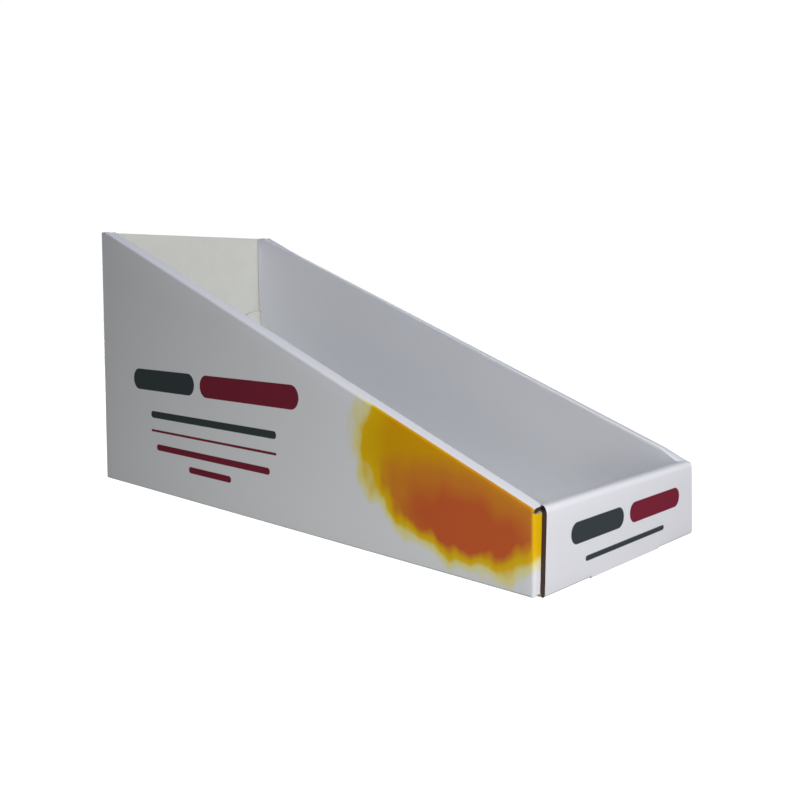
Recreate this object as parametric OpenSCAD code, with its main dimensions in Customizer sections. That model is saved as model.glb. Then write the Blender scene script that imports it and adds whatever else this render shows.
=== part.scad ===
// Open display tray folded from one die-cut blank of laminated corrugated board.
// The side walls fall from a high back to a low front. Sides and front are rolled over into
// double walls that lock into slots in the base. The back is a single panel with glued flaps.
// The front panel faces -Y, the base stands on Z = 0 and the origin is under the middle.

/* [Tray] */
// Outside width across the side walls
tray_w = 115; // [90:1:180]
// Outside length from the front panel to the back panel
tray_l = 300; // [200:1:420]
// Height of the back panel
back_h = 139; // [115:1:200]
// Height of the rolled front
front_h = 31.2; // [24:0.2:60]
// Height of the sloping rim where it meets the front
rim_front_h = 30.2; // [22:0.2:56]
// Length of the level shoulder at the back end of each rim
shoulder_l = 8; // [5:0.5:20]

/* [Board] */
// Thickness of the board
board_t = 1.9; // [1.2:0.1:2.6]
// Inside radius of a folded crease
bend_r = 0.5; // [0.2:0.1:1]
// Outside radius of a folded crease, less than the board where the fold is pressed
crease_r = 1.2; // [0.6:0.1:1.4]
// Play between two layers that are folded together and not glued
layer_gap = 0.2; // [0.1:0.05:0.6]

/* [Front] */
// Distance from the side walls' outside to the front panel's ends at the base
front_inset = 3.2; // [2.6:0.1:6]
// How far each end of the front panel leans in towards the top
front_lean = 1; // [0:0.1:2]
// Width of the lock tab under the middle of the rolled front
front_tab_w = 49.4; // [30:0.2:70]

/* [Flaps] */
// Length of each dust flap folded in behind the front panel
dust_flap_l = 30; // [15:1:45]
// Drop of the dust flap's top below the rim
dust_flap_drop = 3; // [2.6:0.1:8]
// Distance from the side walls' outside to the back panel's ends
back_inset = 3.4; // [2.6:0.1:6]
// Length of each glue flap on the inside of the back panel
glue_flap_l = 27.5; // [24:0.5:40]
// Height of each glue flap
glue_flap_h = 92; // [60:1:108]
// Radius of the glue flap's free upper corner
glue_flap_round = 19; // [4:0.5:20]

/* [Locks] */
// Width of each lock tab under the inner side panels
side_tab_w = 38; // [20:1:60]
// Distance between the middles of the two lock tabs on one side
side_tab_pitch = 150; // [80:1:180]
// How much each lock tab narrows towards its lower corners
tab_taper = 2; // [0:0.5:4]
// Play round a lock tab in its slot
slot_play = 0.4; // [0.2:0.1:1]
// Open joint between the inner side panels and the back
back_joint = 1.8; // [0.4:0.1:3]
// Open joint between the rim's inner crease and the front roll
mitre_gap = 0.5; // [0.3:0.1:1.5]

/* [Hidden] */
$fn = 64;

half_w = tray_w / 2;
half_l = tray_l / 2;
// Reach of a crease from its outer faces, and the width of a roll that holds three layers
fold_r = board_t + bend_r;
rim_w = 3 * board_t + 2 * layer_gap;
// Lengths that only have to reach past the board they cut
over = 60;
skin = 1;
// Corner folds end just above the table, and lock tabs end inside the base
corner_lift = board_t / 4;
tab_end = board_t / 8;

// Slope of the rim, and the height of its line above a place along the tray
rim_angle = atan2(back_h - rim_front_h, tray_l - shoulder_l);
function rim_z(y) = rim_front_h + (y + half_l) * tan(rim_angle);

// Places of the board's faces along the tray
dust_flap_y = -half_l + board_t + layer_gap;
front_fold_y = dust_flap_y + fold_r;
front_edge_y = dust_flap_y + crease_r;
front_inner_y = -half_l + rim_w - board_t;
back_face_y = half_l - board_t;
back_fold_y = back_face_y - fold_r;
glue_flap_y = back_face_y - board_t;
shoulder_y = half_l - shoulder_l;

// Heights of the board's edges
panel_foot = board_t + layer_gap;
dust_flap_h = min(rim_z(dust_flap_y) - dust_flap_drop, front_h - board_t - layer_gap);
front_strip_foot = front_h - board_t - layer_gap;

// Lock slot of the front, and the rim's blunt tip beside the end of the front roll
front_slot_w = front_tab_w + 2 * slot_play;
rim_tip_w = min(front_inset + front_lean, rim_w - board_t / 2);
rim_tip_y = dust_flap_y;
mitre_y = -half_l + rim_w + mitre_gap;

// Flat shape of a block that is round on its two upper corners, with its top at zero
module arch(w, r, depth) {
    translate([r, -r]) circle(r);
    translate([w - r, -r]) circle(r);
    translate([r, -depth]) square([w - 2 * r, depth]);
    translate([0, -depth]) square([w, depth - r]);
}

// Section of a rolled edge: outer leg, flat strip and inner leg
module roll_section(r, depth) {
    difference() {
        arch(rim_w, r, depth);
        translate([board_t, -board_t]) arch(rim_w - 2 * board_t, bend_r, depth);
    }
}

// Board bent at a right-angled crease, drawn in the first quadrant
module fold(length) {
    flat = fold_r - crease_r;
    linear_extrude(length) difference() {
        union() {
            square([fold_r, flat]);
            square([flat, fold_r]);
            translate([flat, flat]) intersection() {
                circle(crease_r);
                square(crease_r);
            }
        }
        circle(bend_r);
    }
}

// Lays a flat shape drawn as (along, up) in the side's plane and gives it a width from x0 to x1
module across(x0, x1) {
    translate([x0, 0, 0]) rotate([90, 0, 90]) linear_extrude(x1 - x0) children();
}

// Lays a flat shape drawn as (sideways, up) in the front's plane and gives it a depth from y0 to y1
module along(y0, y1) {
    translate([0, y1, 0]) rotate([90, 0, 0]) linear_extrude(y1 - y0) children();
}

// Runs a section down the slope of the left rim, with its top on the rim's line
module on_rim() {
    translate([-half_w, half_l + over, rim_z(half_l + over)])
        rotate([90 + rim_angle, 0, 0])
            linear_extrude((tray_l + 2 * over) / cos(rim_angle)) children();
}

// Flat shape of a lock tab that hangs from a panel's lower edge
module lock_tab(w) {
    polygon([
        [-w / 2, panel_foot],
        [-w / 2 + tab_taper, tab_end],
        [w / 2 - tab_taper, tab_end],
        [w / 2, panel_foot]
    ]);
}

// Outline of the outer side panel between its two corner folds
module outer_side_outline() {
    polygon([
        [front_edge_y, fold_r],
        [back_fold_y, fold_r],
        [back_fold_y, glue_flap_h],
        [glue_flap_y, glue_flap_h],
        [glue_flap_y, back_h],
        [front_edge_y, back_h]
    ]);
}

// Outline of the inner side panel, stepped round the front roll and round the glue flap
module inner_side_outline() {
    polygon([
        [front_inner_y, panel_foot],
        [glue_flap_y - back_joint, panel_foot],
        [glue_flap_y - back_joint, glue_flap_h + layer_gap],
        [back_face_y - back_joint, glue_flap_h + layer_gap],
        [back_face_y - back_joint, back_h],
        [mitre_y, back_h],
        [mitre_y, front_strip_foot],
        [front_inner_y, front_strip_foot]
    ]);
    for (end = [-1, 1]) translate([end * side_tab_pitch / 2, 0]) lock_tab(side_tab_w);
}

// Plan of the left rim strip, with a tip that is cut square and slanted beside the front roll
module rim_strip_plan() {
    polygon([
        [-half_w - skin, rim_tip_y],
        [-half_w + rim_tip_w, rim_tip_y],
        [-half_w + rim_w, mitre_y],
        [-half_w + rim_w + skin, mitre_y],
        [-half_w + rim_w + skin, shoulder_y],
        [-half_w - skin, shoulder_y]
    ]);
}

// Left side wall: outer panel, sloping rim strip and inner panel in one bent sheet
module rolled_side() {
    intersection() {
        on_rim() roll_section(crease_r, back_h + over);
        union() {
            across(-half_w - skin, -half_w + board_t) outer_side_outline();
            across(-half_w + rim_w - board_t, -half_w + rim_w + skin) inner_side_outline();
            intersection() {
                on_rim() translate([-skin, -fold_r]) square([rim_w + 2 * skin, fold_r + skin]);
                linear_extrude(back_h + over) rim_strip_plan();
            }
        }
    }
}

// Dust flap at the front of the left side, with its corner fold
module dust_flap() {
    translate([-half_w + fold_r, front_fold_y, corner_lift])
        rotate(180) fold(dust_flap_h - corner_lift);
    translate([-half_w + fold_r, dust_flap_y, panel_foot])
        cube([dust_flap_l - fold_r, board_t, dust_flap_h - panel_foot]);
}

// Glue flap at the back of the left side, with its corner fold and round free corner
module glue_flap() {
    translate([-half_w + fold_r, back_fold_y, corner_lift])
        rotate(90) fold(glue_flap_h - corner_lift);
    flap_l = glue_flap_l - fold_r;
    flap_h = glue_flap_h - panel_foot;
    translate([-half_w + fold_r, 0, panel_foot]) along(glue_flap_y, back_face_y) intersection() {
        square([flap_l, flap_h]);
        union() {
            square([flap_l, flap_h - glue_flap_round]);
            square([flap_l - glue_flap_round, flap_h]);
            translate([flap_l - glue_flap_round, flap_h - glue_flap_round]) circle(glue_flap_round);
        }
    }
}

// Crease between the base and the left side
module side_crease() {
    translate([-half_w + fold_r, back_fold_y, fold_r])
        rotate([90, 0, 0]) rotate(180) fold(back_fold_y - front_fold_y);
}

module side_wall() {
    rolled_side();
    dust_flap();
    glue_flap();
    side_crease();
}

// Half width of the front panel at a height above the base
function front_half(z) = half_w - front_inset - front_lean * z / front_h;

// Rolled front: outer panel, level strip with mitred ends and inner panel with its lock tab
module rolled_front() {
    strip_z = front_h - fold_r;
    inner_half = half_w - rim_w - layer_gap;
    intersection() {
        translate([-half_w, -half_l, front_h])
            rotate([90, 0, 90]) linear_extrude(tray_w) roll_section(fold_r, front_h);
        union() {
            along(-half_l - skin, -half_l + board_t) polygon([
                [-front_half(fold_r), fold_r],
                [front_half(fold_r), fold_r],
                [front_half(strip_z), strip_z],
                [-front_half(strip_z), strip_z]
            ]);
            along(front_inner_y, front_inner_y + board_t + skin) {
                translate([-inner_half, panel_foot]) square([2 * inner_half, strip_z - panel_foot]);
                lock_tab(front_tab_w);
            }
            translate([0, 0, strip_z]) linear_extrude(fold_r + skin) polygon([
                [-front_half(strip_z), -half_l - skin],
                [front_half(strip_z), -half_l - skin],
                [front_half(strip_z), -half_l],
                [inner_half, -half_l + rim_w],
                [-inner_half, -half_l + rim_w],
                [-front_half(strip_z), -half_l]
            ]);
        }
    }
}

// Crease between the base and the front, broken by the lock slot, where the panel is cut square
module front_crease() {
    crease_l = front_half(fold_r) - front_slot_w / 2;
    for (x = [-front_half(fold_r), front_slot_w / 2]) {
        translate([x, -half_l + fold_r, fold_r])
            rotate([90, 0, 90]) rotate(180) fold(crease_l);
    }
    translate([-front_slot_w / 2, -half_l, 0]) cube([front_slot_w, board_t, fold_r]);
}

// Single back panel with its crease
module back_wall() {
    back_half = half_w - back_inset;
    translate([-back_half, back_face_y, fold_r])
        cube([2 * back_half, board_t, back_h - fold_r]);
    translate([-back_half, half_l - fold_r, fold_r])
        rotate([90, 0, 90]) rotate(270) fold(2 * back_half);
}

// Plan of the base with its notched corners
module base_plan() {
    translate([-half_w + fold_r, front_fold_y])
        square([tray_w - 2 * fold_r, back_fold_y - front_fold_y]);
    translate([-front_half(0), -half_l + fold_r])
        square([2 * front_half(0), half_l - fold_r]);
    translate([-half_w + back_inset, 0])
        square([tray_w - 2 * back_inset, half_l - fold_r]);
}

// Lock slots through the base: two beside each inner side panel and one behind the front
module lock_slots() {
    slot_l = side_tab_w + 2 * slot_play;
    slot_x = half_w - rim_w - slot_play;
    for (side = [0, 1], end = [-1, 1]) mirror([side, 0])
        translate([slot_x, end * side_tab_pitch / 2 - slot_l / 2])
            square([board_t + 2 * slot_play, slot_l]);
    translate([-front_slot_w / 2, -half_l + board_t])
        square([front_slot_w, rim_w - board_t + slot_play]);
}

module base_panel() {
    linear_extrude(board_t) difference() {
        base_plan();
        lock_slots();
    }
}

// The whole tray, one folded sheet
module display_tray() {
    color("whitesmoke") union() {
        base_panel();
        side_wall();
        mirror([1, 0, 0]) side_wall();
        front_crease();
        rolled_front();
        back_wall();
    }
}

display_tray();
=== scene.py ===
"""Display tray folded from one sheet of white-coated corrugated board, on a plain studio floor."""
import math
from types import SimpleNamespace

import bmesh
import bpy
from mathutils import Matrix, Vector


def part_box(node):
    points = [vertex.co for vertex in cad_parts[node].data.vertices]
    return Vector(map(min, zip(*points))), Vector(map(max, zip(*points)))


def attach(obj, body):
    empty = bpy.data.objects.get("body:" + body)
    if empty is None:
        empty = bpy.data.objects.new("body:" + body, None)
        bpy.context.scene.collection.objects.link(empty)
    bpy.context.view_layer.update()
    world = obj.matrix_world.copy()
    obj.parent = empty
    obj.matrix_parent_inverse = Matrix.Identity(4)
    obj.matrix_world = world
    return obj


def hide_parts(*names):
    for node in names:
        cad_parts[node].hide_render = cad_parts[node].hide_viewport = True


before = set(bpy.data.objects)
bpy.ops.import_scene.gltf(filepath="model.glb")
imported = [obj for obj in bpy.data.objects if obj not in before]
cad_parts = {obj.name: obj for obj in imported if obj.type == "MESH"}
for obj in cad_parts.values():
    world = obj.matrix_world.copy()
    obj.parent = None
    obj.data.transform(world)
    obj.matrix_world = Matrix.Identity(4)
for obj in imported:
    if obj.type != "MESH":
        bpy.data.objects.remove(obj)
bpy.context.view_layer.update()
TRAY_LOW, TRAY_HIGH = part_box("display_tray")

bl_info = {
    "name": "Folded display tray",
    "version": (1, 0, 0),
    "blender": (4, 5, 0),
    "location": "View3D > Sidebar > Tray",
    "description": "Folds a display tray from one sheet of coated board and lights it",
    "category": "Object",
}

MM = 0.001
# Two points closer than this are taken to lie on the same crease or cut
NEAR = 1e-6

# Numbers that the faces of each panel carry while the sheet is folded
BASE, SIDE, RIM, INNER, FRONT, FRONT_RIM, FRONT_INNER, BACK, DUST, GLUE = range(1, 11)
# Material slots of the board: coated outside, uncoated reverse and edges cut across and along the flutes
COATED, REVERSE, CUT_ACROSS, CUT_ALONG = range(4)
# Each panel has its own strip of the flat sheet's map, this far from the next
PANEL_STEP = 1.0
# Rows and strips of faces in the panels, fine enough for the board to settle softly
WALL_ROWS = 8
FRONT_ROWS = 4
FRONT_INNER_ROWS = 3
SIDE_STRIPS = 28
FRONT_STRIPS = 4
# Steps round a crease and round the glue flap's free corner
CREASE_STEPS = 6
CORNER_STEPS = 10
# Faces that meet at more than this angle have a sharp edge
SHARP_ANGLE = math.radians(30)
# The board's flutes run up the walls, this far apart
FLUTE_PITCH = 3.2 * MM


def linear(code):
    """Linear colour of an sRGB hex value."""
    parts = [int(code[i:i + 2], 16) / 255 for i in (1, 3, 5)]
    return [p / 12.92 if p <= 0.04045 else ((p + 0.055) / 1.055) ** 2.4 for p in parts]


def length(name, description, value):
    """Property for a size that is given in millimetres and kept in metres."""
    return bpy.props.FloatProperty(
        name=name, description=description, default=value * MM, min=0.0, unit="LENGTH", precision=5)


def colour(name, description, code):
    """Property for a colour that is given as an sRGB hex value."""
    return bpy.props.FloatVectorProperty(
        name=name, description=description, default=linear(code), subtype="COLOR", size=3, min=0.0, max=1.0)


def angle(name, description, degrees):
    """Property for an angle that is given in degrees and kept in radians."""
    return bpy.props.FloatProperty(
        name=name, description=description, default=math.radians(degrees), subtype="ANGLE")


def power(name, description, watts):
    """Property for the power of a lamp in watts."""
    return bpy.props.FloatProperty(
        name=name, description=description, default=watts, min=0.0, unit="POWER")


class TrayBoardSizes(bpy.types.PropertyGroup):
    """Sizes of the board and of its folded panels"""
    board_t: length("Board", "Thickness of the board", 1.9)
    crease_r: length("Crease", "Outside radius of a pressed crease", 1.2)
    rim_lift: length("Rim lift", "How far the rims' inner edges stand above their outer edges", 0.6)
    rim_turn: length("Rim turn", "How much further the right rim's inner edge stands up", 0.4)
    rim_press: length("Rim press", "How far the right rim's outer edge is pressed down at the back", 1.5)
    settle_l: length("Settle length", "Length before the shoulder over which the rims come true", 30.0)
    rim_tuck: length("Rim tuck", "How far the right rim's inner edge dips at the front roll", 2.3)
    tuck_start: length("Tuck start", "From the front to where the right rim starts to dip", 11.0)
    tuck_end: length("Tuck end", "From the front to where the right rim has dipped", 5.0)
    tuck_edge: bpy.props.FloatProperty(
        name="Tuck edge", description="Share of the dip that the right rim's outer edge takes",
        default=0.35, min=0.0, max=1.0, subtype="FACTOR")
    front_skew: length("Front skew", "How far the rolled front's top stands to the right", 0.5)
    front_round: length("Front round", "Outside radius of the rolled front's upper edges", 2.4)
    layer_gap: length("Layer gap", "Play between two layers that are not glued", 0.2)
    front_h: length("Front height", "Height of the rolled front", 31.2)
    rim_front_h: length("Rim height", "Height of the sloping rim where it meets the front", 30.2)
    shoulder_l: length("Shoulder", "Length of the level shoulder behind each rim", 8.0)
    front_inset: length("Front inset", "From the side walls' outside to the front panel's ends", 3.2)
    front_lean: length("Front lean", "How far the front panel's ends lean in at the top", 1.0)
    front_tab_w: length("Front tab", "Width of the lock tab under the rolled front", 49.4)
    dust_flap_l: length("Dust flap", "Length of the flaps behind the front panel", 30.0)
    dust_flap_drop: length("Dust flap drop", "Drop of the dust flap's top below the rim", 2.1)
    back_inset: length("Back inset", "From the side walls' outside to the back panel's ends", 3.4)
    glue_flap_l: length("Glue flap", "Length of the flaps inside the back panel", 27.5)
    glue_flap_h: length("Glue flap height", "Height of the flaps inside the back panel", 92.0)
    glue_flap_round: length("Glue flap corner", "Radius of the glue flap's free corner", 19.0)
    side_tab_w: length("Side tab", "Width of each lock tab under the inner side panels", 38.0)
    side_tab_pitch: length("Side tab pitch", "Distance between the lock tabs of one side", 150.0)
    tab_taper: length("Tab taper", "How much a lock tab narrows at its lower corners", 2.0)
    slot_play: length("Slot play", "Play round a lock tab in its slot", 0.4)
    back_joint: length("Back joint", "Open joint between inner side panels and back", 0.6)
    mitre_gap: length("Mitre gap", "Open joint between the rim's inner crease and the front roll", 0.1)


class TrayBoardColours(bpy.types.PropertyGroup):
    """Colours of the board and its print"""
    coat: colour("Coat", "White coated face of the board", "#ECEDF3")
    reverse: colour("Reverse", "Uncoated reverse of the board", "#E1E2DB")
    medium: colour("Flutes", "Paper of the flutes in a cut edge", "#C4BAA8")
    # Dark edge colour: brown core paper darkened as painted shade of the gaps and hollows where edges cut
    # along the flutes sit
    core: colour("Core", "Crushed core paper in an edge cut along the flutes", "#503E3B")
    wash_core: colour("Wash core", "Red-orange middle of the printed wash", "#D2602E")
    wash_orange: colour("Wash orange", "Orange round the wash's middle", "#DA8428")
    wash_deep: colour("Wash deep", "Deeper amber inside the wash", "#E3A503")
    wash_amber: colour("Wash amber", "Amber body of the wash", "#E9BA06")
    wash_yellow: colour("Wash yellow", "Yellow edge of the wash", "#EFC414")
    wash_pale: colour("Wash halo", "Pale yellow halo of the wash", "#EFE7A4")
    ink: colour("Ink", "Dark printed bars", "#3A4246")
    accent: colour("Accent", "Wine-red printed bars", "#7E2438")


class TrayStudio(bpy.types.PropertyGroup):
    """Camera and light of the studio"""
    azimuth: angle("Azimuth", "Camera's angle round the tray", -45.881)
    elevation: angle("Elevation", "Camera's angle above the target", 2.572)
    roll: angle("Roll", "Turn of the camera about its own line of sight", -0.5755)
    distance: length("Distance", "From the camera to its target", 423.676)
    target: bpy.props.FloatVectorProperty(
        name="Target", description="Point that the camera turns about",
        default=(0.0, -29.926 * MM, 87.294 * MM), subtype="XYZ", unit="LENGTH")
    lens: bpy.props.FloatProperty(name="Lens", description="Focal length in millimetres", default=40.316)
    shift: bpy.props.FloatProperty(
        name="Shift", description="Upward lens shift, as a share of the frame", default=-0.09)
    floor: colour("Floor", "Pale studio floor", "#FAFAFA")
    fill: bpy.props.FloatProperty(
        name="Fill", description="Strength of the even fill light", default=0.06, min=0.0)
    left_key: power("Left key", "Power of the soft light at the front left", 5.0)
    broad_front: power("Broad front", "Power of the broad light in front", 6.3)
    rim_top: power("Rim top", "Power of the small light above the back", 0.27)
    low_left: power("Low left", "Power of the low light on the left", 0.16)
    low_right: power("Low right", "Power of the low light at the front right", 0.4)
    under_left: power("Under left", "Power of the light under the table on the left", 0.43)
    low_back: power("Low back", "Power of the low light behind the tray", 2.2)


def layout(sizes):
    """Places and heights of the panels, worked out from the frame's box and the board's sizes."""
    p = SimpleNamespace(**{name: getattr(sizes, name) for name in TrayBoardSizes.__annotations__})
    p.half_w = (TRAY_HIGH[0] - TRAY_LOW[0]) / 2
    p.half_l = (TRAY_HIGH[1] - TRAY_LOW[1]) / 2
    p.back_h = TRAY_HIGH[2]
    p.rim_w = 3 * p.board_t + 2 * p.layer_gap
    p.slope = math.atan2(p.back_h - p.rim_front_h, 2 * p.half_l - p.shoulder_l)
    p.down_slope = Vector((0, -math.cos(p.slope), -math.sin(p.slope)))
    p.up_slope = Vector((0, -math.sin(p.slope), math.cos(p.slope)))
    p.dust_flap_y = -p.half_l + p.board_t + p.layer_gap
    p.front_fold_y = p.dust_flap_y + p.crease_r
    p.front_inner_y = -p.half_l + p.rim_w - p.board_t
    p.back_face_y = p.half_l - p.board_t
    p.back_fold_y = p.back_face_y - p.crease_r
    p.glue_flap_y = p.back_face_y - p.board_t
    p.shoulder_y = p.half_l - p.shoulder_l
    p.mitre_y = -p.half_l + p.rim_w + p.mitre_gap
    p.rim_tip = Vector((-p.half_w + p.front_inset + p.front_lean, p.dust_flap_y, 0))
    p.panel_foot = p.board_t + p.layer_gap
    p.strip_foot = p.front_h - p.board_t - p.layer_gap
    p.tab_end = p.board_t / 8
    p.corner_lift = p.board_t / 4
    p.dust_flap_h = rim_z(p, p.dust_flap_y) - p.dust_flap_drop
    p.front_slot_w = p.front_tab_w + 2 * p.slot_play
    p.front_strip_z = p.front_h - p.front_round
    p.inner_half = p.half_w - p.rim_w - p.layer_gap - p.front_skew
    p.back_half = p.half_w - p.back_inset
    return p


def rim_z(p, y):
    """Height of the sloping rim's top above a place along the tray."""
    return p.rim_front_h + (y + p.half_l) * math.tan(p.slope)


def rim_crease_z(p, y):
    """Height at which an outer side panel starts to bend over into the rim, level behind the rim's end."""
    return rim_z(p, min(y, p.shoulder_y)) - p.crease_r / math.cos(p.slope)


def front_half(p, z):
    """Half width of the front panel at a height."""
    return p.half_w - p.front_inset - p.front_lean * z / p.front_h


class Sheet:
    """Outer face of the left half of one sheet of board, folded panel by panel from the base."""

    def __init__(self):
        self.bm = bmesh.new()
        self.panel = self.bm.faces.layers.int.new("panel")
        # Each crease keeps its number on its faces, and its axis and the way to its inside corner here
        self.crease = self.bm.faces.layers.int.new("crease")
        self.creases = [None]

    def faces(self, *panels):
        """Faces of the given panels."""
        return [f for f in self.bm.faces if f[self.panel] in panels]

    def label(self, panel, known=(), crease=0):
        """Gives the panel's and the crease's number to all faces that are not known yet."""
        for face in self.bm.faces:
            if face not in known:
                face[self.panel] = panel
                face[self.crease] = crease

    def geometry(self, *panels):
        """Faces, edges and points of the given panels, for an operator."""
        faces = self.faces(*panels)
        edges = {e for f in faces for e in f.edges}
        verts = {v for f in faces for v in f.verts}
        return faces + list(edges) + list(verts)

    def open_edges(self, panel, where):
        """Free edges of a panel whose two ends both pass a test of their place."""
        edges = {e for f in self.faces(panel) for e in f.edges if e.is_boundary}
        return [e for e in edges if all(where(v.co) for v in e.verts)]

    def cut(self, point, normal, *panels, drop=False):
        """Cuts panels along a plane, and drops what lies on the normal's side if asked."""
        bmesh.ops.bisect_plane(
            self.bm, geom=self.geometry(*panels), dist=NEAR, plane_co=point, plane_no=normal,
            clear_outer=drop)

    def delete(self, panel, where):
        """Deletes the faces of a panel whose middle passes a test."""
        faces = [f for f in self.faces(panel) if where(f.calc_center_median())]
        bmesh.ops.delete(self.bm, geom=faces, context="FACES")

    def fold(self, edges, centre, axis, turn, panel):
        """Bends the sheet a quarter turn about a crease and returns its new free edges."""
        known = set(self.bm.faces)
        centre, axis = Vector(centre), Vector(axis)
        out = edges[0].verts[0].co - centre
        out -= axis * out.dot(axis)
        last_out = Matrix.Rotation(turn * math.pi / 2, 3, axis) @ out
        self.creases.append((centre, axis, out.length, -(out + last_out) / out.length))
        made = bmesh.ops.spin(
            self.bm, geom=edges, cent=centre, axis=axis, dvec=(0, 0, 0), angle=turn * math.pi / 2,
            steps=CREASE_STEPS, use_merge=False, use_normal_flip=False, use_duplicate=False)
        self.label(panel, known, len(self.creases) - 1)
        return [g for g in made["geom_last"] if isinstance(g, bmesh.types.BMEdge)]

    def extend(self, edges, goal, panel, rows=1):
        """Grows the sheet from free edges to where goal puts each point. Returns its new free edges."""
        known = set(self.bm.faces)
        for row in range(rows):
            made = bmesh.ops.extrude_edge_only(self.bm, edges=edges)["geom"]
            verts = {g for g in made if isinstance(g, bmesh.types.BMVert)}
            for v in verts:
                v.co += (Vector(goal(v.co)) - v.co) / (rows - row)
            edges = [g for g in made if isinstance(g, bmesh.types.BMEdge) and set(g.verts) <= verts]
        self.label(panel, known)
        return edges

    def inside_corners(self, board_t):
        """Inside corner of each pressed crease, where the board is thicker than the crease is round."""
        corners = {}
        for vert in self.bm.verts:
            number = max(face[self.crease] for face in vert.link_faces)
            if not number:
                continue
            centre, axis, radius, inward = self.creases[number]
            if radius > board_t:
                continue
            side = Vector((-1 if vert.co.x > 0 else 1, 1, 1))
            place = centre + axis * (vert.co * side - centre).dot(axis) + inward * (board_t - radius)
            corners[vert.index] = place * side
        return corners


def close(a, b):
    """Whether two measures are the same, but for rounding."""
    return abs(a - b) < 10 * NEAR


def spread(low, high, count):
    """Even places between two ends, without the ends."""
    return [low + (high - low) * i / count for i in range(1, count)]


def lay_base(sheet, p):
    """Flat left half of the base with its notched corners and lock slots."""
    left = -p.half_w + p.crease_r
    back = p.half_l - p.crease_r
    middle = Matrix.Translation((left / 2, 0, 0))
    bmesh.ops.create_grid(
        sheet.bm, x_segments=1, y_segments=1, size=1.0,
        matrix=middle @ Matrix.Diagonal((-left / 2, back, 1, 1)))
    sheet.label(BASE)
    side_slot = (-p.half_w + p.rim_w - p.board_t - p.slot_play, -p.half_w + p.rim_w + p.slot_play)
    slot_half = p.side_tab_w / 2 + p.slot_play
    front_slot_y = -p.half_l + p.rim_w + p.slot_play
    tabs = [sign * p.side_tab_pitch / 2 for sign in (-1, 1)]
    y_cuts = [p.front_fold_y, p.back_fold_y, p.shoulder_y, front_slot_y]
    for tab in tabs:
        for sign in (-1, 1):
            y_cuts += [tab + sign * half for half in (p.side_tab_w / 2, slot_half)]
    y_cuts += spread(p.front_fold_y, p.shoulder_y, SIDE_STRIPS)
    x_cuts = [-front_half(p, 0), -p.back_half, -p.front_slot_w / 2, -p.front_tab_w / 2, *side_slot]
    x_cuts += spread(-p.front_slot_w / 2, 0, FRONT_STRIPS)
    x_cuts += spread(-front_half(p, 0), -p.front_slot_w / 2, FRONT_STRIPS)
    for y in y_cuts:
        sheet.cut((0, y, 0), (0, 1, 0), BASE)
    for x in x_cuts:
        sheet.cut((x, 0, 0), (1, 0, 0), BASE)
    sheet.delete(BASE, lambda c: c.x < -front_half(p, 0) and c.y < p.front_fold_y)
    sheet.delete(BASE, lambda c: c.x < -p.back_half and c.y > p.back_fold_y)
    sheet.delete(BASE, lambda c: c.x > -p.front_slot_w / 2 and c.y < front_slot_y)
    for tab in tabs:
        sheet.delete(BASE, lambda c: side_slot[0] < c.x < side_slot[1] and abs(c.y - tab) < slot_half)


def fold_side(sheet, p):
    """Outer side panel with its crease and its shoulder. Returns the edges that the rim grows from."""
    left = -p.half_w + p.crease_r
    edges = sheet.open_edges(BASE, lambda c: close(c.x, left))
    edges = sheet.fold(edges, (left, 0, p.crease_r), (0, 1, 0), 1, SIDE)
    edges = sheet.extend(edges, lambda c: (c.x, c.y, rim_crease_z(p, c.y)), SIDE, rows=WALL_ROWS)
    for z in (p.dust_flap_h, p.glue_flap_h):
        sheet.cut((0, 0, z), (0, 0, 1), SIDE)

    def at_top(c):
        return close(c.z, rim_crease_z(p, c.y))

    shoulder = sheet.open_edges(SIDE, lambda c: c.y > p.shoulder_y - NEAR and at_top(c))
    rim = sheet.open_edges(SIDE, lambda c: c.y < p.shoulder_y + NEAR and at_top(c))
    sheet.extend(shoulder, lambda c: (c.x, c.y, p.back_h), SIDE)
    return rim


def roll_rim(sheet, p, edges):
    """Sloping rim strip with two soft creases and a blunt front tip, and the inner side panel."""
    axis = -p.down_slope
    inner_x = -p.half_w + p.rim_w - p.crease_r
    edges = sheet.fold(edges, (-p.half_w + p.crease_r, 0, rim_crease_z(p, 0)), axis, 1, RIM)
    edges = sheet.extend(edges, lambda c: (inner_x, c.y, c.z), RIM)
    edges = sheet.fold(edges, (inner_x, 0, rim_crease_z(p, 0)), axis, 1, RIM)
    edges = sheet.extend(edges, lambda c: (c.x, c.y, p.panel_foot), INNER, rows=WALL_ROWS)
    start = Vector((0, p.front_fold_y, rim_crease_z(p, p.front_fold_y))).dot(p.down_slope)
    tip = sheet.open_edges(RIM, lambda c: close(c.dot(p.down_slope), start))
    reach = 2 * (p.front_fold_y - p.rim_tip.y)
    sheet.extend(tip, lambda c: c + p.down_slope * reach, RIM)
    sheet.cut((0, p.mitre_y, 0), (0, 1, 0), RIM, INNER)
    sheet.cut(p.rim_tip, (0, -1, 0), RIM, drop=True)
    mitre = Vector((-p.half_w + p.rim_w, p.mitre_y, 0)) - p.rim_tip
    sheet.cut(p.rim_tip, (mitre.y, -mitre.x, 0), RIM, drop=True)
    finish_inner_side(sheet, p)


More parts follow.
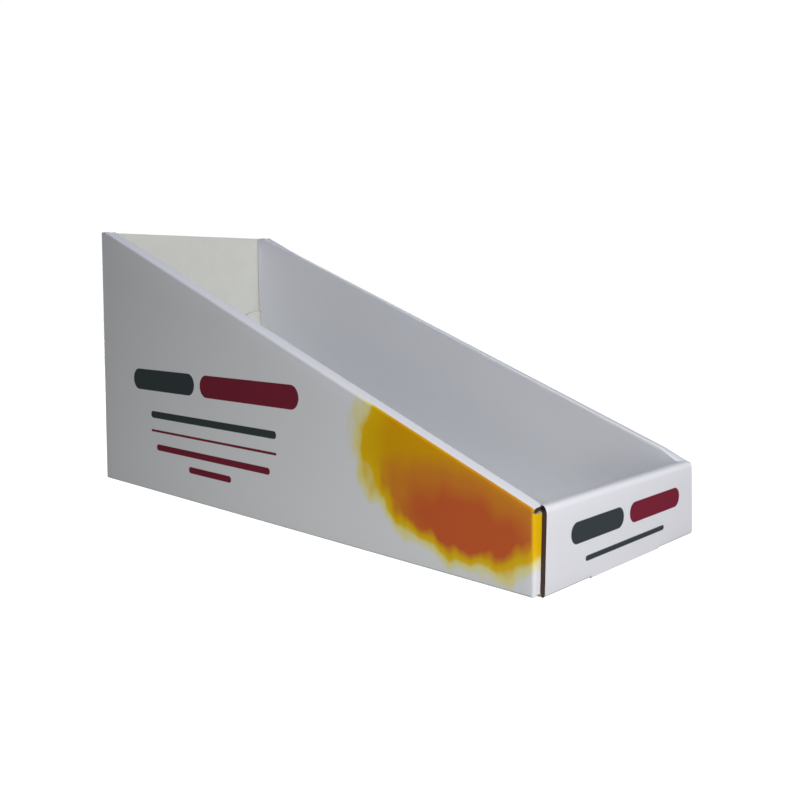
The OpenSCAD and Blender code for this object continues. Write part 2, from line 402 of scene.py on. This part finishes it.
def finish_inner_side(sheet, p):
    """Steps in the inner side panel's ends, and its lock tabs."""
    flap_top = p.glue_flap_h + p.layer_gap
    sheet.cut((0, p.front_inner_y, 0), (0, -1, 0), INNER, drop=True)
    sheet.cut((0, 0, p.strip_foot), (0, 0, 1), INNER)
    sheet.delete(INNER, lambda c: c.y < p.mitre_y and c.z > p.strip_foot)
    sheet.cut((0, 0, flap_top), (0, 0, 1), INNER)

    def at_end(c):
        return close(c.y, p.shoulder_y)

    low = sheet.open_edges(INNER, lambda c: at_end(c) and c.z < flap_top + NEAR)
    high = sheet.open_edges(INNER, lambda c: at_end(c) and c.z > flap_top - NEAR)
    sheet.extend(low, lambda c: (c.x, p.glue_flap_y - p.back_joint, c.z), INNER)
    sheet.extend(high, lambda c: (c.x, p.back_face_y - p.back_joint, c.z), INNER)
    top_z = rim_crease_z(p, p.shoulder_y)
    top = sheet.open_edges(INNER, lambda c: c.y > p.shoulder_y - NEAR and close(c.z, top_z))
    sheet.extend(top, lambda c: (c.x, c.y, p.back_h), INNER)
    half = p.side_tab_w / 2
    narrow = 1 - p.tab_taper / half
    for place in (-p.side_tab_pitch / 2, p.side_tab_pitch / 2):
        foot = sheet.open_edges(
            INNER, lambda c: close(c.z, p.panel_foot) and abs(c.y - place) < half + NEAR)
        sheet.extend(foot, lambda c: (c.x, place + (c.y - place) * narrow, p.tab_end), INNER)


def fold_side_flaps(sheet, p):
    """Dust flap behind the front and glue flap inside the back, each round a soft corner fold."""
    left = -p.half_w + p.crease_r
    rim_end = rim_crease_z(p, p.front_fold_y)
    corners = (
        (DUST, p.front_fold_y, rim_end, p.dust_flap_h, 1, -p.half_w + p.dust_flap_l),
        (GLUE, p.back_fold_y, p.glue_flap_h, p.glue_flap_h, -1, -p.half_w + p.glue_flap_l),
    )
    for panel, fold_y, start, top, turn, end_x in corners:
        edges = sheet.open_edges(
            SIDE, lambda c: close(c.y, fold_y) and close(c.x, -p.half_w) and c.z < start + NEAR)
        sheet.fold(edges, (left, fold_y, 0), (0, 0, 1), turn, panel)
        # The fold's top falls from the side panel's height to the flap's
        fall = (start - top) / (2 * p.crease_r)
        sheet.cut((-p.half_w, fold_y, start), (fall, -turn * fall, 1), panel, drop=True)
        edges = sheet.open_edges(panel, lambda c: close(c.x, left) and c.z < top + NEAR)
        foot = sheet.open_edges(panel, lambda c: close(c.z, p.crease_r))
        made = sheet.extend(edges, lambda c: (end_x, c.y, c.z), panel)
        sheet.extend(foot, lambda c: (c.x, c.y, p.corner_lift), panel)
        if panel == GLUE:
            round_flap(sheet, p, made)


def round_flap(sheet, p, edges):
    """Round free upper corner of the glue flap."""
    faces = [e.link_faces[0] for e in edges]
    known = set(sheet.bm.faces)
    bmesh.ops.dissolve_faces(sheet.bm, faces=faces, use_verts=False)
    sheet.label(GLUE, known)
    free_x = -p.half_w + p.glue_flap_l
    ends = {v for e in sheet.open_edges(GLUE, lambda c: close(c.x, free_x)) for v in e.verts}
    top = max(ends, key=lambda v: v.co.z)
    low = min(ends, key=lambda v: v.co.z)
    bmesh.ops.dissolve_verts(sheet.bm, verts=list(ends - {top, low}))
    bmesh.ops.bevel(
        sheet.bm, geom=[top], offset=p.glue_flap_round, offset_type="OFFSET", affect="VERTICES",
        segments=CORNER_STEPS, profile=0.5, material=-1)
    sheet.label(GLUE, known)


def roll_front(sheet, p):
    """Rolled front: creased outer panel, strip with mitred ends and inner panel with a lock tab."""
    front = -p.half_l + p.crease_r
    slot = -p.front_slot_w / 2
    edges = sheet.open_edges(BASE, lambda c: close(c.y, front) and c.x < slot + NEAR)
    edges = sheet.fold(edges, (0, front, p.crease_r), (1, 0, 0), -1, FRONT)
    sheet.extend(edges, lambda c: (c.x, c.y, p.front_strip_z), FRONT, rows=FRONT_ROWS)
    for vert in {v for f in sheet.faces(FRONT) for v in f.verts}:
        lean = (front_half(p, vert.co.z) + slot) / (front_half(p, 0) + slot)
        vert.co.x = slot + (vert.co.x - slot) * lean
    edges = sheet.open_edges(FRONT, lambda c: close(c.x, slot) and c.z > p.crease_r - NEAR)
    for x in (-p.front_tab_w / 2, -p.front_tab_w / 4, 0):
        edges = sheet.extend(edges, lambda c: (x, c.y, c.z), FRONT)
    foot = sheet.open_edges(FRONT, lambda c: close(c.z, p.crease_r) and c.x > slot - NEAR)
    sheet.extend(foot, lambda c: (c.x, c.y, 0), FRONT)
    top = sheet.open_edges(FRONT, lambda c: close(c.z, p.front_strip_z))
    outer_crease = -p.half_l + p.front_round
    top = sheet.fold(top, (0, outer_crease, p.front_strip_z), (1, 0, 0), -1, FRONT_RIM)
    inner_crease = -p.half_l + p.rim_w - p.front_round
    top = sheet.extend(top, lambda c: (c.x, inner_crease, c.z), FRONT_RIM)
    top = sheet.fold(top, (0, inner_crease, p.front_strip_z), (1, 0, 0), -1, FRONT_RIM)
    sheet.extend(top, lambda c: (c.x, c.y, p.panel_foot), FRONT_INNER, rows=FRONT_INNER_ROWS)
    mitre_start = Vector((-front_half(p, p.front_strip_z), -p.half_l, 0))
    mitre = Vector((-p.inner_half, -p.half_l + p.rim_w, 0)) - mitre_start
    sheet.cut(mitre_start, (-mitre.y, mitre.x, 0), FRONT_RIM, drop=True)
    sheet.cut((-p.inner_half, 0, 0), (-1, 0, 0), FRONT_INNER, drop=True)
    half = p.front_tab_w / 2
    foot = sheet.open_edges(FRONT_INNER, lambda c: close(c.z, p.panel_foot) and c.x > -half - NEAR)
    sheet.extend(foot, lambda c: (c.x * (1 - p.tab_taper / half), c.y, p.tab_end), FRONT_INNER)


def fold_back(sheet, p):
    """Single back panel with its crease."""
    crease = p.half_l - p.crease_r
    edges = sheet.open_edges(BASE, lambda c: close(c.y, crease))
    edges = sheet.fold(edges, (0, crease, p.crease_r), (1, 0, 0), 1, BACK)
    sheet.extend(edges, lambda c: (c.x, c.y, p.back_h), BACK, rows=WALL_ROWS)


def fold_sheet(p):
    """Outer face of the whole folded board."""
    sheet = Sheet()
    lay_base(sheet, p)
    roll_rim(sheet, p, fold_side(sheet, p))
    fold_side_flaps(sheet, p)
    roll_front(sheet, p)
    fold_back(sheet, p)
    bm = sheet.bm
    bmesh.ops.remove_doubles(bm, verts=bm.verts[:], dist=NEAR)
    bmesh.ops.mirror(bm, geom=bm.verts[:] + bm.edges[:] + bm.faces[:], axis="X", merge_dist=10 * NEAR)
    bmesh.ops.recalc_face_normals(bm, faces=bm.faces[:])
    if sheet.faces(BASE)[0].normal.z > 0:
        bmesh.ops.reverse_faces(bm, faces=bm.faces[:])
    return sheet


def soft_share(value, start, full):
    """Share that grows from 0 at start to 1 at full, with soft ends."""
    share = min(max((value - start) / (full - start), 0.0), 1.0)
    return share * share * (3 - 2 * share)


def settle(p, panels, co):
    """Place of a point after the hand-folded rims and front have settled a little out of true."""
    co = Vector(co)
    inset = (p.half_w - abs(co.x)) / p.rim_w
    if panels & {FRONT, FRONT_RIM, FRONT_INNER}:
        co.x += p.front_skew * co.z / p.front_h
    elif inset < 1 + NEAR:
        lift = p.rim_lift * inset
        if co.x > 0:
            lift += p.rim_turn * inset
            lift -= p.rim_press * (1 - inset) * (co.y + p.half_l) / (2 * p.half_l)
        lift *= soft_share(co.y, p.shoulder_y, p.shoulder_y - p.settle_l)
        if co.x > 0:
            dip = soft_share(co.y, -p.half_l + p.tuck_start, -p.half_l + p.tuck_end)
            lift -= p.rim_tuck * max(inset, p.tuck_edge) * dip
        height = (co.z - p.panel_foot) / (rim_crease_z(p, co.y) - p.panel_foot)
        co.z += lift * min(max(height, 0.0), 1.0)
    return co


def settle_sheet(sheet, p, corners):
    """Settles the folded sheet and the inside corners of its creases."""
    for vert in sheet.bm.verts:
        panels = {face[sheet.panel] for face in vert.link_faces}
        vert.co = settle(p, panels, vert.co)
        if vert.index in corners:
            corners[vert.index] = settle(p, panels, corners[vert.index])


def flat_place(p, panel, co):
    """Place of a point of the folded sheet on the flat sheet's map, in metres."""
    x = -abs(co.x)
    corner_x = -p.half_w + p.crease_r
    if panel == DUST:
        turn = math.atan2(p.front_fold_y - co.y, max(corner_x - x, 0.0))
        return p.front_fold_y - p.crease_r * turn - max(x - corner_x, 0.0), co.z
    if panel == RIM:
        crease = Vector((0, 0, rim_crease_z(p, 0))).dot(p.up_slope)
        height = co.dot(p.up_slope) - crease
        strip = min(max(x - corner_x, 0.0), p.rim_w - 2 * p.crease_r)
        reach = p.crease_r * math.atan2(height, max(corner_x - x, 0.0)) + strip
        if x > corner_x + strip:
            reach += p.crease_r * math.atan2(x - corner_x - strip, height)
        flat = p.down_slope * co.dot(p.down_slope) + p.up_slope * (crease + reach)
        return flat.y, flat.z
    across = co.y if panel in (SIDE, INNER) else co.x
    up = co.y if panel == BASE else co.z
    # The front's rim strip lies flat, so its depth is counted as height
    if panel == FRONT_RIM:
        up += co.y + p.half_l
    row = 0 if panel == SIDE else panel
    return across, up + row * PANEL_STEP


def map_sheet(sheet, p):
    """Writes the flat sheet's map to the folded sheet."""
    uv = sheet.bm.loops.layers.uv.new("flat_sheet")
    for face in sheet.bm.faces:
        for loop in face.loops:
            loop[uv].uv = flat_place(p, face[sheet.panel], loop.vert.co)


def thicken(piece, p, corners):
    """Gives the folded sheet the board's thickness, closes the creases' insides and maps the cut edges."""
    outer = len(piece.data.vertices)
    solid = piece.modifiers.new("board", "SOLIDIFY")
    solid.thickness = p.board_t
    solid.offset = -1
    solid.use_even_offset = True
    solid.use_quality_normals = True
    solid.material_offset = REVERSE
    solid.material_offset_rim = CUT_ACROSS
    evaluated = piece.evaluated_get(bpy.context.evaluated_depsgraph_get())
    mesh = bpy.data.meshes.new_from_object(evaluated)
    piece.modifiers.clear()
    piece.data = mesh
    for index, place in corners.items():
        mesh.vertices[outer + index].co = place
    uv = mesh.uv_layers["flat_sheet"].data
    panel = mesh.attributes["panel"].data
    for face in mesh.polygons:
        if face.material_index != CUT_ACROSS:
            continue
        places = [uv[i].uv.copy() for i in face.loop_indices]
        span = max(a.x for a in places) - min(a.x for a in places)
        rise = max(a.y for a in places) - min(a.y for a in places)
        kind = panel[face.index].value
        middle = face.center
        # Flutes run up the walls, so the front's ends are cut along them; their dark colour is brown core
        # paper with painted shade of the narrow gap they sit in
        front_end = kind in (FRONT, FRONT_RIM) and rise > span
        # The left rim's tip takes the dark edge colour as painted shade of the hollow beneath it, and the
        # right one's shows pale paper
        left_tip = kind == RIM and middle.x < 0 and middle.y < p.rim_tip.y + p.board_t / 2
        right_tip = kind in (RIM, INNER) and middle.x > 0 and middle.y < p.mitre_y + p.board_t
        if front_end or left_tip:
            face.material_index = CUT_ALONG
        elif right_tip:
            face.material_index = REVERSE
        for i, place in zip(face.loop_indices, places):
            uv[i].uv = (place.x, 0.0 if mesh.loops[i].vertex_index < outer else p.board_t)
    bm = bmesh.new()
    bm.from_mesh(mesh)
    bmesh.ops.remove_doubles(bm, verts=bm.verts[:], dist=NEAR)
    bmesh.ops.recalc_face_normals(bm, faces=bm.faces[:])
    bm.to_mesh(mesh)
    bm.free()
    mesh.shade_smooth()
    mesh.set_sharp_from_angle(angle=SHARP_ANGLE)


def add(tree, kind, links=None, **settings):
    """Adds a shader node, sets its properties and sockets, and links sockets to outputs."""
    node = tree.nodes.new(kind)
    for name, value in settings.items():
        setattr(node, name, value)
    for name, value in (links or {}).items():
        socket = node.inputs[name]
        if isinstance(value, bpy.types.NodeSocket):
            tree.links.new(value, socket)
        elif socket.type == "RGBA":
            socket.default_value = (*value, 1)
        else:
            socket.default_value = value
    return node


def new_material(name):
    """Material with one Principled shader. Returns the material, its tree and the shader."""
    material = bpy.data.materials.new(name)
    material.use_nodes = True
    tree = material.node_tree
    return material, tree, tree.nodes["Principled BSDF"]


# Half the width over which a bar's edge fades, in millimetres
BAR_FADE = 0.12


def bar_mask(tree, place, middle, size, corner):
    """Mask that is 1 inside a bar with round corners on the flat sheet, all in millimetres."""
    middle = [m * MM for m in middle] + [0]
    reach = [(s / 2 - corner) * MM for s in size] + [0]
    away = add(tree, "ShaderNodeVectorMath", {0: place, 1: middle}, operation="SUBTRACT")
    away = add(tree, "ShaderNodeVectorMath", {0: away.outputs[0]}, operation="ABSOLUTE")
    away = add(tree, "ShaderNodeVectorMath", {0: away.outputs[0], 1: reach}, operation="SUBTRACT")
    away = add(tree, "ShaderNodeVectorMath", {0: away.outputs[0], 1: (0, 0, 0)}, operation="MAXIMUM")
    away = add(tree, "ShaderNodeVectorMath", {0: away.outputs[0]}, operation="LENGTH")
    inside = add(tree, "ShaderNodeMapRange", {
        "Value": away.outputs["Value"], "From Min": (corner + BAR_FADE) * MM,
        "From Max": (corner - BAR_FADE) * MM})
    return inside.outputs["Result"]


# Plain printed bars on the sides and the front: ink, middle and size in millimetres on the flat sheet
SIDE_BARS = (
    ("ink", (86, 59), (58, 11)),
    ("accent", (14, 59), (76, 11)),
    ("ink", (45, 41), (106, 3.6)),
    ("accent", (45, 32.5), (106, 1.2)),
    ("accent", (45, 24), (96, 3.2)),
    ("accent", (45, 16), (36, 3.2)),
)
FRONT_BARS = (
    ("ink", (-20.5, 18.5), (36, 8)),
    ("accent", (22, 18.5), (40, 8)),
    ("ink", (0, 8), (58, 2)),
)


# Ovals of the printed wash: middle and half size in millimetres, and turn as a share of the rim's slope
WASH_EDGE = ((-110.5, 39), (55.5, 36), 0.75)
WASH_CORE = ((-120, 17.5), (46, 20), 0.5)
# Puddles of ink and long runs break up the ovals: their sizes, and how far they move an oval's edge
PUDDLE = 16 * MM
PUDDLE_SHIFT = 0.26
RUN_W = 7 * MM
RUN_L = 20 * MM
RUN_SHIFT = 0.24
# Share of the rim's outer crease that is printed, and half the width over which the print ends there
PRINTED_CREASE = 0.65
PRINT_FADE = 0.15 * MM


def wash_reach(tree, place, oval, slope):
    """Distance from the middle of an oval wash that lies along the rim, 1 at the oval's edge."""
    centre, reach, turn = oval
    turned = add(tree, "ShaderNodeMapping", {
        "Vector": place, "Location": [c * MM for c in centre] + [0], "Rotation": (0, 0, turn * slope),
        "Scale": [r * MM for r in reach] + [1]}, vector_type="TEXTURE")
    puddle = add(tree, "ShaderNodeTexNoise", {"Vector": place, "Scale": 1 / PUDDLE, "Detail": 1.0})
    run = add(tree, "ShaderNodeMapping", {"Vector": place, "Scale": (1 / RUN_W, 1 / RUN_L, 1)})
    run = add(tree, "ShaderNodeTexNoise", {"Vector": run.outputs[0], "Scale": 1.0, "Detail": 1.5})
    away = add(tree, "ShaderNodeVectorMath", {0: turned.outputs[0]}, operation="LENGTH").outputs["Value"]
    for noise, shift in ((puddle, PUDDLE_SHIFT), (run, RUN_SHIFT)):
        uneven = add(tree, "ShaderNodeMath", {0: noise.outputs["Fac"], 1: 0.5}, operation="SUBTRACT")
        away = add(tree, "ShaderNodeMath", {
            0: uneven.outputs[0], 1: shift, 2: away}, operation="MULTIPLY_ADD").outputs[0]
    return away


def printed_colour(tree, colours, p, place):
    """Coated white with a soft warm wash at the front of the sides and plain bars."""
    edge = wash_reach(tree, place, WASH_EDGE, p.slope)
    core = wash_reach(tree, place, WASH_CORE, p.slope)
    along = add(tree, "ShaderNodeSeparateXYZ", {0: place}).outputs["X"]
    corner = p.front_fold_y
    # Each ink covers the ones before it, from none at the first value to all at the second
    inks = [
        (edge, 0.78, 0.58, colours.wash_deep),
        (core, 1.3, 0.9, colours.wash_orange),
        (core, 0.85, 0.5, colours.wash_core),
        (along, corner + 0.2 * MM, corner - 0.8 * MM, colours.wash_amber),
        (edge, 0.74, 0.84, colours.wash_amber),
        (edge, 0.8, 0.9, colours.wash_yellow),
        (edge, 0.87, 0.93, colours.wash_pale),
        (edge, 0.94, 1.02, colours.coat),
    ]
    # Print stops near the top of the rim's outer crease, and above it the board is bare
    rim = add(tree, "ShaderNodeMapping", {
        "Vector": place, "Location": (0, rim_crease_z(p, 0), 0), "Rotation": (0, 0, p.slope)},
        vector_type="TEXTURE")
    rim = add(tree, "ShaderNodeSeparateXYZ", {0: rim.outputs[0]})
    stop = PRINTED_CREASE * p.crease_r * math.pi / 2
    inks.append((rim.outputs["Y"], stop - PRINT_FADE, stop + PRINT_FADE, colours.coat))
    shade = colours.wash_amber
    for value, start, full, ink in inks:
        share = add(tree, "ShaderNodeMapRange", {"Value": value, "From Min": start, "From Max": full})
        share = share.outputs["Result"]
        shade = add(tree, "ShaderNodeMix", {0: share, 6: shade, 7: ink}, data_type="RGBA").outputs[2]
    for bars, row in ((SIDE_BARS, 0), (FRONT_BARS, FRONT)):
        for ink, (u, v), size in bars:
            mask = bar_mask(tree, place, (u, v + row * PANEL_STEP / MM), size, min(size) / 2)
            ink = getattr(colours, ink)
            shade = add(tree, "ShaderNodeMix", {0: mask, 6: shade, 7: ink}, data_type="RGBA").outputs[2]
    return shade


def coated_board(colours, p):
    """Litho-laminated white board with a satin varnish: smooth, with a hint of the flutes below."""
    material, tree, shader = new_material("satin_varnished_litho_board")
    place = add(tree, "ShaderNodeUVMap", uv_map="flat_sheet").outputs["UV"]
    tree.links.new(printed_colour(tree, colours, p, place), shader.inputs["Base Color"])
    # The wave texture turns by 20 radians in each unit of its scaled place
    flutes = add(tree, "ShaderNodeTexWave", {
        "Vector": place, "Scale": 1 / FLUTE_PITCH / 20 * math.tau, "Distortion": 0.6, "Detail": 1.0},
        wave_type="BANDS", bands_direction="X")
    # Paper fibres are drawn 0.6 mm across, coarser than real ones, so that they show
    fibre = add(tree, "ShaderNodeTexNoise", {"Vector": place, "Scale": 1 / (0.6 * MM), "Detail": 3.0})
    relief = add(tree, "ShaderNodeBump", {
        "Height": flutes.outputs["Fac"], "Strength": 0.25, "Distance": 0.04 * MM})
    relief = add(tree, "ShaderNodeBump", {
        "Height": fibre.outputs["Fac"], "Strength": 0.2, "Distance": 0.02 * MM,
        "Normal": relief.outputs["Normal"]})
    tree.links.new(relief.outputs["Normal"], shader.inputs["Normal"])
    shader.inputs["Roughness"].default_value = 0.48
    shader.inputs["IOR"].default_value = 1.5
    shader.inputs["Specular IOR Level"].default_value = 0.2
    return material


def reverse_board(colours):
    """Uncoated reverse of the board: matt cream paper, faintly cloudy, with short fibres."""
    material, tree, shader = new_material("uncoated_test_liner")
    place = add(tree, "ShaderNodeUVMap", uv_map="flat_sheet").outputs["UV"]
    # Clouds in the paper are about 9 mm across and a tenth darker
    cloud = add(tree, "ShaderNodeTexNoise", {
        "Vector": place, "Scale": 1 / (9 * MM), "Detail": 6.0, "Roughness": 0.6})
    dark = [c * 0.9 for c in colours.reverse]
    shade = add(tree, "ShaderNodeMix", {
        0: cloud.outputs["Fac"], 6: dark, 7: colours.reverse}, data_type="RGBA")
    tree.links.new(shade.outputs[2], shader.inputs["Base Color"])
    # Its fibres are drawn 0.7 mm across, coarser than real ones, so that they show
    fibre = add(tree, "ShaderNodeTexNoise", {"Vector": place, "Scale": 1 / (0.7 * MM), "Detail": 4.0})
    relief = add(tree, "ShaderNodeBump", {
        "Height": fibre.outputs["Fac"], "Strength": 0.3, "Distance": 0.03 * MM})
    tree.links.new(relief.outputs["Normal"], shader.inputs["Normal"])
    shader.inputs["Roughness"].default_value = 0.85
    shader.inputs["Specular IOR Level"].default_value = 0.25
    return material


def cut_across(colours, board_t):
    """Edge die-cut across the flutes: two pale liners, a waving flute between them and shaded hollows."""
    material, tree, shader = new_material("die_cut_flute_edge")
    place = add(tree, "ShaderNodeUVMap", uv_map="flat_sheet").outputs["UV"]
    parts = add(tree, "ShaderNodeSeparateXYZ", {0: place})
    turn = add(tree, "ShaderNodeMath", {
        0: parts.outputs["X"], 1: math.tau / FLUTE_PITCH}, operation="MULTIPLY")
    wave = add(tree, "ShaderNodeMath", {0: turn.outputs[0]}, operation="SINE")
    line = add(tree, "ShaderNodeMath", {
        0: wave.outputs[0], 1: 0.3 * board_t, 2: 0.5 * board_t}, operation="MULTIPLY_ADD")
    off = add(tree, "ShaderNodeMath", {0: parts.outputs["Y"], 1: line.outputs[0]}, operation="SUBTRACT")
    off = add(tree, "ShaderNodeMath", {0: off.outputs[0]}, operation="ABSOLUTE")
    # The flute's paper is drawn 0.5 mm thick and the liners 0.36 mm, thicker than real ones, to show
    flute = add(tree, "ShaderNodeMapRange", {
        "Value": off.outputs[0], "From Min": 0.32 * MM, "From Max": 0.18 * MM})
    rim = add(tree, "ShaderNodeMath", {0: parts.outputs["Y"], 1: 0.5 * board_t}, operation="SUBTRACT")
    rim = add(tree, "ShaderNodeMath", {0: rim.outputs[0]}, operation="ABSOLUTE")
    liner = add(tree, "ShaderNodeMapRange", {
        "Value": rim.outputs[0], "From Min": 0.5 * board_t - 0.42 * MM,
        "From Max": 0.5 * board_t - 0.3 * MM})
    shade = [c * 0.6 for c in colours.medium]
    for share, paper in ((flute, colours.medium), (liner, colours.reverse)):
        share = share.outputs["Result"]
        shade = add(tree, "ShaderNodeMix", {0: share, 6: shade, 7: paper}, data_type="RGBA").outputs[2]
    tree.links.new(shade, shader.inputs["Base Color"])
    shader.inputs["Roughness"].default_value = 0.9
    shader.inputs["Specular IOR Level"].default_value = 0.2
    return material


def cut_along(colours):
    """Edge die-cut along a flute: brown core paper darkened with painted shade of the gaps and hollows it
    sits in, with the liners too thin to show.
    """
    material, _, shader = new_material("crushed_core_paper_edge")
    shader.inputs["Base Color"].default_value = (*colours.core, 1)
    shader.inputs["Roughness"].default_value = 0.95
    shader.inputs["Specular IOR Level"].default_value = 0.1
    return material


class TRAY_OT_fold_board(bpy.types.Operator):
    """Fold the tray from one sheet of board"""
    bl_idname = "tray.fold_board"
    bl_label = "Fold board"

    def execute(self, context):
        p = layout(context.scene.tray_sizes)
        colours = context.scene.tray_colours
        sheet = fold_sheet(p)
        map_sheet(sheet, p)
        sheet.bm.verts.index_update()
        corners = sheet.inside_corners(p.board_t)
        settle_sheet(sheet, p, corners)
        mesh = bpy.data.meshes.new("folded_board")
        sheet.bm.to_mesh(mesh)
        sheet.bm.free()
        piece = bpy.data.objects.new("folded_board", mesh)
        context.collection.objects.link(piece)
        papers = (
            coated_board(colours, p), reverse_board(colours), cut_across(colours, p.board_t),
            cut_along(colours))
        for material in papers:
            mesh.materials.append(material)
        thicken(piece, p, corners)
        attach(piece, "root")
        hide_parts("display_tray")
        return {"FINISHED"}


# Lamps of the studio: place, target and width in metres, and tint. TrayStudio holds their powers
FRONT_FOOT = (0, -0.15, 0.03)
LAMPS = {
    "left_key": ((-0.3, -0.75, 0.5), FRONT_FOOT, 0.3, (0.978, 0.983, 1)),
    "broad_front": ((0, -2, 0.7), FRONT_FOOT, 0.9, (1, 0.955, 0.97)),
    "rim_top": ((-0.02, 0.14, 0.5), (-0.02, 0.1, 0.1), 0.15, (0.65, 0.78, 1)),
    "low_left": ((-0.36, -0.33, 0.04), (-0.06, -0.12, 0.02), 0.07, (1, 0.95, 0.93)),
    "low_right": ((0.3, -0.9, 0.06), FRONT_FOOT, 0.2, (1, 0.92, 0.95)),
    "under_left": ((-0.3, -0.05, -0.2), (-0.06, 0, 0.02), 0.4, (0.965, 1, 0.93)),
    "low_back": ((0, 0.9, 0.06), (0, 0.15, 0.06), 0.15, (0.98, 0.99, 1)),
}
# Half width of the table, in metres
TABLE_REACH = 6.0
# Tint of the even fill, and how bright the world is in the picture
FILL_TINT = (0.97, 1, 0.96)
WORLD_WHITE = 1.02


def area_light(name, place, target, size, watts, tint):
    """Soft square light that points at a target."""
    data = bpy.data.lights.new(name, "AREA")
    data.shape = "SQUARE"
    data.size = size
    data.energy = watts
    data.color = tint
    light = bpy.data.objects.new(name, data)
    light.location = place
    light.rotation_euler = (Vector(target) - Vector(place)).to_track_quat("-Z", "Y").to_euler()
    bpy.context.collection.objects.link(light)


def studio_floor(shade):
    """Pale back-lit table under the tray. It casts no light on the walls, so that their shade stays."""
    bm = bmesh.new()
    bmesh.ops.create_grid(bm, x_segments=1, y_segments=1, size=TABLE_REACH)
    mesh = bpy.data.meshes.new("studio_floor")
    bm.to_mesh(mesh)
    bm.free()
    floor = bpy.data.objects.new("studio_floor", mesh)
    bpy.context.collection.objects.link(floor)
    floor.visible_diffuse = False
    floor.visible_glossy = False
    floor.visible_shadow = False
    material, _, shader = new_material("opal_acrylic_table")
    shader.inputs["Base Color"].default_value = (*shade, 1)
    shader.inputs["Roughness"].default_value = 0.9
    shader.inputs["Emission Color"].default_value = (*shade, 1)
    shader.inputs["Emission Strength"].default_value = 0.98
    mesh.materials.append(material)


def white_world(fill):
    """World that is white in the picture and gives a dim even fill."""
    world = bpy.data.worlds.new("white_studio")
    world.use_nodes = True
    tree = world.node_tree
    sky = tree.nodes["Background"]
    seen = add(tree, "ShaderNodeLightPath").outputs["Is Camera Ray"]
    tint = add(tree, "ShaderNodeMix", {0: seen, 6: FILL_TINT, 7: (1, 1, 1)}, data_type="RGBA")
    tree.links.new(tint.outputs[2], sky.inputs["Color"])
    level = add(tree, "ShaderNodeMapRange", {"Value": seen, "To Min": fill, "To Max": WORLD_WHITE})
    tree.links.new(level.outputs["Result"], sky.inputs["Strength"])
    return world


class TRAY_OT_studio(bpy.types.Operator):
    """Set up the floor, the light and the camera"""
    bl_idname = "tray.studio"
    bl_label = "Set up studio"

    def execute(self, context):
        scene = context.scene
        studio = scene.tray_studio
        scene.view_settings.view_transform = "Standard"
        studio_floor(studio.floor)
        scene.world = white_world(studio.fill)
        for name, (place, target, width, tint) in LAMPS.items():
            area_light(name, place, target, width, getattr(studio, name), tint)
        self.place_camera(scene, studio)
        return {"FINISHED"}

    def place_camera(self, scene, studio):
        """Camera on a sphere round its target, with a small roll and lens shift."""
        turn, rise = studio.azimuth, studio.elevation
        back = Vector((math.sin(turn) * math.cos(rise), -math.cos(turn) * math.cos(rise), math.sin(rise)))
        data = bpy.data.cameras.new("camera")
        data.lens = studio.lens
        data.sensor_width = 36.0
        data.shift_y = studio.shift
        data.clip_start = 0.01
        camera = bpy.data.objects.new("camera", data)
        look = (-back).to_track_quat("-Z", "Y").to_matrix().to_4x4()
        place = Matrix.Translation(Vector(studio.target) + back * studio.distance)
        camera.matrix_world = place @ look @ Matrix.Rotation(studio.roll, 4, "Z")
        bpy.context.collection.objects.link(camera)
        scene.camera = camera


class TRAY_PT_panel(bpy.types.Panel):
    """Lists the tray's steps in the sidebar"""
    bl_idname = "TRAY_PT_panel"
    bl_label = "Display tray"
    bl_space_type = "VIEW_3D"
    bl_region_type = "UI"
    bl_category = "Tray"

    def draw(self, context):
        for step in (TRAY_OT_fold_board, TRAY_OT_studio):
            self.layout.operator(step.bl_idname)
        for group in ("tray_sizes", "tray_colours", "tray_studio"):
            data = getattr(context.scene, group)
            for name in type(data).__annotations__:
                self.layout.prop(data, name)


GROUPS = {"tray_sizes": TrayBoardSizes, "tray_colours": TrayBoardColours, "tray_studio": TrayStudio}
CLASSES = (*GROUPS.values(), TRAY_OT_fold_board, TRAY_OT_studio, TRAY_PT_panel)


def register():
    for cls in CLASSES:
        bpy.utils.register_class(cls)
    for name, group in GROUPS.items():
        setattr(bpy.types.Scene, name, bpy.props.PointerProperty(type=group))


def unregister():
    for name in GROUPS:
        delattr(bpy.types.Scene, name)
    for cls in reversed(CLASSES):
        bpy.utils.unregister_class(cls)


def main():
    register()
    bpy.ops.tray.studio()
    bpy.ops.tray.fold_board()


if __name__ == "__main__":
    main()
